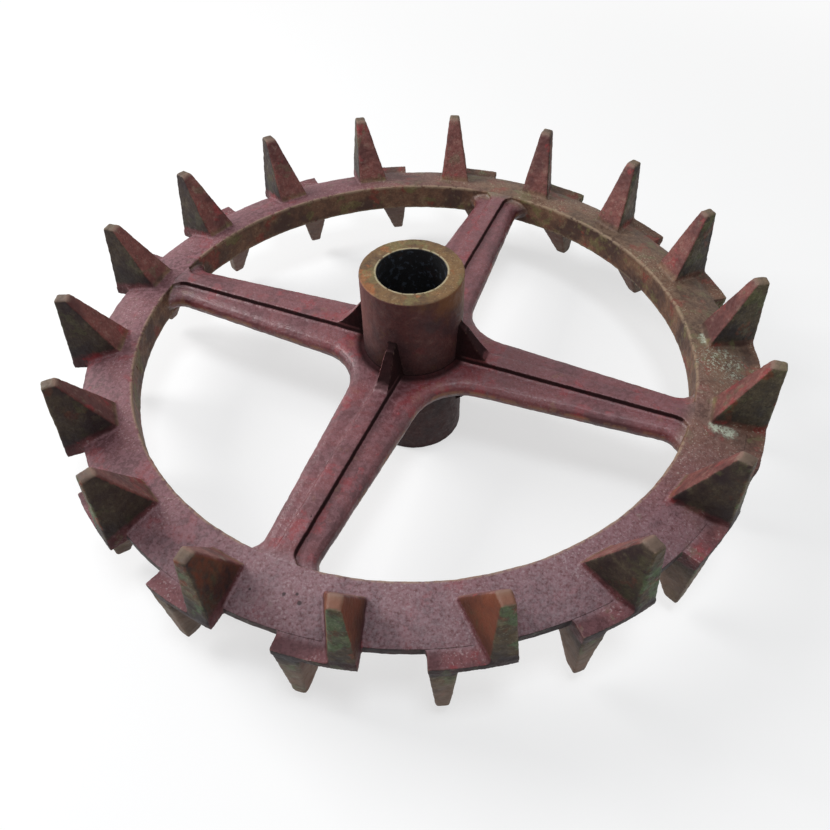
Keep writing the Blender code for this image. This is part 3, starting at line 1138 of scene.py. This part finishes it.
class PaintShop:
    """The materials of the ring's pieces."""

    @staticmethod
    def rim() -> bpy.types.Material:
        """Primer on the rim band."""
        paint = CastingPaint("rim_primer")
        return paint.finish(paint.rim(), gloss=0.30)

    @staticmethod
    def tooth() -> bpy.types.Material:
        """Primer on the blocks and their spikes."""
        paint = CastingPaint("spike_primer")
        return paint.finish(paint.spikes(paint.rim()), gloss=0.30)

    @staticmethod
    def spider() -> bpy.types.Material:
        """Primer on the arms, which runs into the rim's, with painted shade on the ribs' lee sides and next
        to the barrel.

        Returns:
            The material.
        """
        paint = CastingPaint("arm_primer")
        blend, site = paint.graph.blend, paint.site
        # Painted shade: steep walls of the ribs that are turned away from the light are painted near black.
        steep = site.face_z.size().step(0.92, 0.66) * site.lee
        ribs = steep * site.rise.step(0.0084, 0.0092) * site.radius.step(0.210, 0.208)
        crest = site.rise.step(0.0104, 0.0122) * site.rise.step(0.0138, 0.0128)
        # Painted shade: the web is painted near black next to the barrel.
        foot_shade = site.radius.step(0.0475, 0.0410)
        web = site.radius.step(0.100, 0.060) * paint.cover(site.growth, 0.45)
        skin = blend(paint.colour(Zone.ARM), MARKS.web, web * 0.30)
        parting = site.rise.step(0.0030, 0.0008) * paint.cover(site.drift, 0.65, 0.12)
        skin = blend(skin, MARKS.parting, parting * 0.55)
        skin = blend(skin, MARKS.painted_shade, ribs * (1.0 - crest * 0.35) * 0.92)
        skin = blend(skin, paint.rim(), site.radius.step(0.203, 0.214))
        skin = blend(skin, MARKS.painted_shade, foot_shade * 0.80)
        # The painted shade is also made metallic and rough, so that it stays dark.
        painted_shade_mask = paint.graph.math("MAXIMUM", ribs * (1.0 - crest * 0.5), foot_shade)
        return paint.finish(skin, gloss=0.85, painted_shade_mask=painted_shade_mask)

    @staticmethod
    def hub() -> bpy.types.Material:
        """Primer on the barrel, ochre rust on its ends and a dark bore, with painted light and shade on the
        barrel and a painted highlight round the bore.

        Returns:
            The material.
        """
        paint = CastingPaint("hub_primer")
        blend, site = paint.graph.blend, paint.site
        end = site.face_z.size().step(0.45, 0.85)
        # Painted light: the barrel's side that faces the lamps is lightened.
        painted_side_light = (-site.face_x).step(0.55, 0.95) * site.rise.step(0.012, 0.034)
        skin = blend(paint.colour(Zone.BARREL), MARKS.painted_side_light, painted_side_light * 0.70)
        streak = (site.face_x * 0.03 + site.rise + (site.drift - 0.5) * 0.06).step(0.066, 0.094)
        skin = blend(skin, MARKS.rust, streak * site.height.step(-0.030, 0.010) * 0.75)
        # Painted shade: the barrel grows darker towards the bottom.
        below = (site.height + (site.drift - 0.5) * 0.020).step(-0.010, -0.034)
        skin = blend(skin, MARKS.painted_shade, below * 0.55)
        skin = blend(skin, paint.colour(Zone.HUB_END), end)
        # Painted highlight: a pale broken ring on each end face round the bore's rounded mouth.
        bore_highlight = site.radius.step(0.0274, 0.0266) * end * paint.cover(site.grit, 0.85)
        skin = blend(skin, MARKS.bore_highlight, bore_highlight * 0.6)
        # Painted shade: the barrel is darkened where the web meets it.
        foot_shade = (site.rise + (site.patches - 0.5) * 0.016).step(0.046, 0.014)
        skin = blend(skin, MARKS.painted_shade, foot_shade * 0.60)
        bore = blend(MARKS.bore, MARKS.bore_grain, paint.cover(site.grit, 0.35))
        return paint.finish(blend(skin, bore, site.radius.step(0.0262, 0.0254)), gloss=0.35)


@dataclass(frozen=True)
class SoftLamp:
    """Square lamp that points at the ring.

    Attributes:
        name: name of the lamp.
        place: where it hangs.
        size: length of its side.
        power: its power in watts.
        colour: colour of its light.
    """

    name: str
    place: Point
    size: float
    power: float
    colour: Point = (1.0, 1.0, 1.0)

    def hang(self) -> None:
        """Add the lamp to the scene."""
        data = bpy.data.lights.new(self.name, "AREA")
        data.size = self.size
        data.energy = self.power
        data.color = self.colour
        lamp = bpy.data.objects.new(self.name, data)
        lamp.location = self.place
        lamp.rotation_euler = (-Vector(self.place)).to_track_quat("-Z", "Y").to_euler()
        bpy.context.scene.collection.objects.link(lamp)


@dataclass
class Studio:
    """Floor, lamps, world and the camera, fitted to the view of the ring from above its front.

    Attributes:
        focal_length, sensor_width: the camera's lens, in millimetres.
        eye: the camera's place.
        right, up, ahead: the camera's directions.
        floor_width: length of the floor's side.
        floor_gap: how far the floor lies under the hub's lower end.
        ambient: strength of the even light.
        near_white, far_white: distances on the floor between which it turns plain white.
        floor_lit, floor_seen: the floor's colour in the light and to the eye.
        floor_glow: light that the floor adds for the eye.
        lamps: the lamps.
    """

    focal_length: float = 34.17
    sensor_width: float = 36.0
    eye: Point = (0.0, -0.4514, 0.4267)
    right: Point = (0.99973, -0.01717, -0.01536)
    up: Point = (0.02304, 0.74513, 0.66653)
    ahead: Point = (0.0, 0.6667, -0.7453)
    floor_width: float = 12.0
    floor_gap: float = 0.0002
    ambient: float = 0.29
    near_white: float = 0.36
    far_white: float = 1.50
    floor_lit: Colour = tone(165, 165, 165)
    floor_seen: Colour = tone(170, 170, 170)
    floor_glow: Colour = tone(205, 205, 205)
    lamps: tuple[SoftLamp, ...] = (
        SoftLamp("window_back", place=(-1.30, 0.50, 1.05), size=0.9, power=24.0),
        SoftLamp("window_above", (0.10, -0.45, 1.60), 0.38, power=8.0, colour=(0.92, 0.96, 1.0)),
    )

    def camera(self) -> None:
        """Set the camera."""
        data = bpy.data.cameras.new("camera")
        data.lens = self.focal_length
        data.sensor_width = self.sensor_width
        camera = bpy.data.objects.new("camera", data)
        bpy.context.scene.collection.objects.link(camera)
        rows = zip(self.right, self.up, (-share for share in self.ahead), self.eye)
        camera.matrix_world = Matrix([tuple(row) for row in rows] + [(0.0, 0.0, 0.0, 1.0)])
        bpy.context.scene.camera = camera

    @staticmethod
    def seen(graph: Graph) -> Wire:
        """Find the rays that show the background: from the camera, by a reflection or a glass.

        Args:
            graph: nodes of the world or of the floor.

        Returns:
            Their mask.
        """
        kinds = ("Is Camera Ray", "Is Glossy Ray", "Is Transmission Ray")
        eye, mirror, glass = (graph.node("ShaderNodeLightPath", {}, {}, kind) for kind in kinds)
        return graph.math("MAXIMUM", graph.math("MAXIMUM", eye, mirror), glass)

    def surroundings(self) -> None:
        """Even light from all round, and a white background where the floor ends."""
        world = bpy.data.worlds.new("studio")
        bpy.context.scene.world = world
        graph = Graph(world, "Background")
        strength = self.seen(graph) * (1.0 - self.ambient) + self.ambient
        graph.fill(graph.shader, {"Color": WHITE, "Strength": strength})

    def floor(self) -> None:
        """White floor under the hub's lower end, which takes the ring's shadow.

        It turns as white as the world where it lies far off, and it can be looked through from
        below.
        """
        bpy.ops.object.select_all(action="DESELECT")
        place = (0.0, 0.0, -SIZES.hub_rise - self.floor_gap)
        bpy.ops.mesh.primitive_plane_add(size=self.floor_width, location=place)
        floor = bpy.context.object
        floor.name = "studio_floor"
        graph = Graph(bpy.data.materials.new("floor_white"))
        seen = self.seen(graph)
        across, along, _ = graph.split(graph.place())
        far = graph.length(across, along).step(self.near_white, self.far_white) * seen
        colour = graph.blend(self.floor_lit, self.floor_seen, seen)
        glow = graph.blend(BLACK, self.floor_glow, seen)
        graph.fill(graph.shader, {
            "Base Color": graph.blend(colour, BLACK, far), "Emission Color": graph.blend(glow, WHITE, far),
            "Emission Strength": 1.0, "Roughness": 1.0, "Specular IOR Level": 0.0,
            "Alpha": 1.0 - graph.geometry("Backfacing"),
        })
        floor.data.materials.append(graph.owner)

    def build(self) -> None:
        """Set up the whole studio."""
        self.camera()
        self.surroundings()
        self.floor()
        for lamp in self.lamps:
            lamp.hang()
        bpy.context.scene.view_settings.view_transform = "Standard"


def main() -> None:
    """Build the ring piece by piece and set it in the studio."""
    logging.basicConfig(level=logging.INFO, format="%(name)s: %(message)s")
    rim = Rim()
    band = rim.build()
    teeth = ToothRow().build(rim)
    spider = Spider().build(rim)
    sleeve = Hub().build()
    for piece in (band, teeth[0], spider, sleeve):
        LOG.info("%s: %d faces", piece.name, len(piece.data.polygons))
    groups = (
        ([band], PaintShop.rim(), "primed_rim"), (teeth, PaintShop.tooth(), "primed_spike"),
        ([spider], PaintShop.spider(), "primed_spoke"), ([sleeve], PaintShop.hub(), "primed_hub"),
    )
    for pieces, paint, slot in groups:
        for piece in pieces:
            piece.data.materials.clear()
            piece.data.materials.append(paint)
            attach(piece, "root")
    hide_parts("ring_rim")
    for number, tooth in enumerate(teeth):
        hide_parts(f"upper_spike_{number + 1:02d}", f"lower_spike_{number + 1:02d}")
    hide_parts(*[f"spoke_{number + 1}" for number in range(SIZES.arm_count)])
    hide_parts("hub_barrel")
    Studio().build()


if __name__ == "__main__":
    main()
